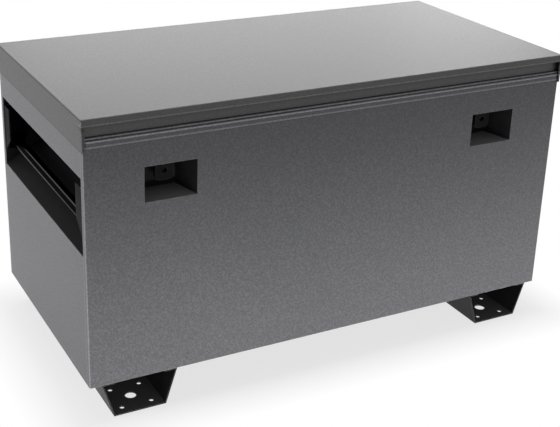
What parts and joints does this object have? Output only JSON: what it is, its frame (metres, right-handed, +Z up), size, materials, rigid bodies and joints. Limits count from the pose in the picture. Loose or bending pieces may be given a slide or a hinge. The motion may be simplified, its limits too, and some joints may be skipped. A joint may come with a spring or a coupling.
{
  "type": "jobsite storage box",
  "caption": "Sheet-steel jobsite storage box on caster-ready skids, with a hinged lid on gas struts, recessed lock pockets and a tube handle along each end.",
  "frame": {"origin": "on the floor below the centre of the whole box", "axes": "+X along the box to its right end, +Y to its back (hinge side), +Z up"},
  "size_m": [1.219, 0.618, 0.697],
  "materials": {
    "grey_paint": "charcoal hammertone powder coat",
    "black_paint": "black powder coat",
    "zinc": "zinc plated",
    "rod_steel": "polished",
    "rubber": "matt"
  },
  "bodies": {
    "box": {"back_panel": "grey_paint", "floor_sheet": "grey_paint", "front_header": "grey_paint", "front_panel": "grey_paint", "hinge_body_leaf": "grey_paint", "hinge_body_rivets": "zinc", "hinge_pin": "zinc", "left_end_lower": "grey_paint", "left_end_upper": "grey_paint", "left_handle_brackets": "black_paint", "left_handle_collars": "black_paint", "left_handle_recess": "black_paint", "left_handle_tube": "black_paint", "left_lock_pocket": "black_paint", "left_lock_staple": "black_paint", "left_rim_rail": "grey_paint", "left_skid": "black_paint", "left_strut_body_bracket": "zinc", "rear_rim_rail": "grey_paint", "right_end_lower": "grey_paint", "right_end_upper": "grey_paint", "right_handle_brackets": "black_paint", "right_handle_collars": "black_paint", "right_handle_recess": "black_paint", "right_handle_tube": "black_paint", "right_lock_pocket": "black_paint", "right_lock_staple": "black_paint", "right_rim_rail": "grey_paint", "right_skid": "black_paint", "right_strut_body_bracket": "zinc", "rim_seal": "rubber", "skid_bolts": "zinc", "skid_nuts": "zinc", "strut_bracket_rivets": "zinc"},
    "lid": {"lid_panel": "grey_paint", "left_lid_skirt": "grey_paint", "right_lid_skirt": "grey_paint", "lid_front_rail": "grey_paint", "lid_stiffener_front": "grey_paint", "lid_stiffener_rear": "grey_paint", "left_lock_tongue": "black_paint", "right_lock_tongue": "black_paint", "hinge_lid_leaf": "grey_paint", "hinge_lid_rivets": "zinc", "left_strut_lid_bracket": "zinc", "right_strut_lid_bracket": "zinc"},
    "left_cylinder": {"left_strut_cylinder": "black_paint"},
    "left_rod": {"left_strut_rod": "rod_steel"},
    "right_cylinder": {"right_strut_cylinder": "black_paint"},
    "right_rod": {"right_strut_rod": "rod_steel"}
  },
  "joints": [
    {"name": "lid_hinge", "type": "hinge", "parent": "box", "child": "lid", "pos_m": [0, 0.3055, 0.6555], "axis": [-1, 0, 0], "range_deg": [0, 85]},
    {"name": "left_strut_swing", "type": "hinge", "parent": "box", "child": "left_cylinder", "pos_m": [-0.5575, 0.232, 0.594], "axis": [-1, 0, 0], "range_deg": [0, 81.64]},
    {"name": "left_strut_stroke", "type": "slide", "parent": "left_cylinder", "child": "left_rod", "axis": [0, -0.9566, 0.2913], "range_m": [0, 0.1285]},
    {"name": "right_strut_swing", "type": "hinge", "parent": "box", "child": "right_cylinder", "pos_m": [0.5575, 0.232, 0.594], "axis": [-1, 0, 0], "range_deg": [0, 81.64]},
    {"name": "right_strut_stroke", "type": "slide", "parent": "right_cylinder", "child": "right_rod", "axis": [0, -0.9566, 0.2913], "range_m": [0, 0.1285]}
  ],
  "couplings": [
    {"joint": "left_strut_swing", "follows": "lid_hinge", "ratio": 0.96037},
    {"joint": "left_strut_stroke", "follows": "lid_hinge", "m_per_rad": 0.086542},
    {"joint": "right_strut_swing", "follows": "lid_hinge", "ratio": 0.96037},
    {"joint": "right_strut_stroke", "follows": "lid_hinge", "m_per_rad": 0.086542}
  ]
}
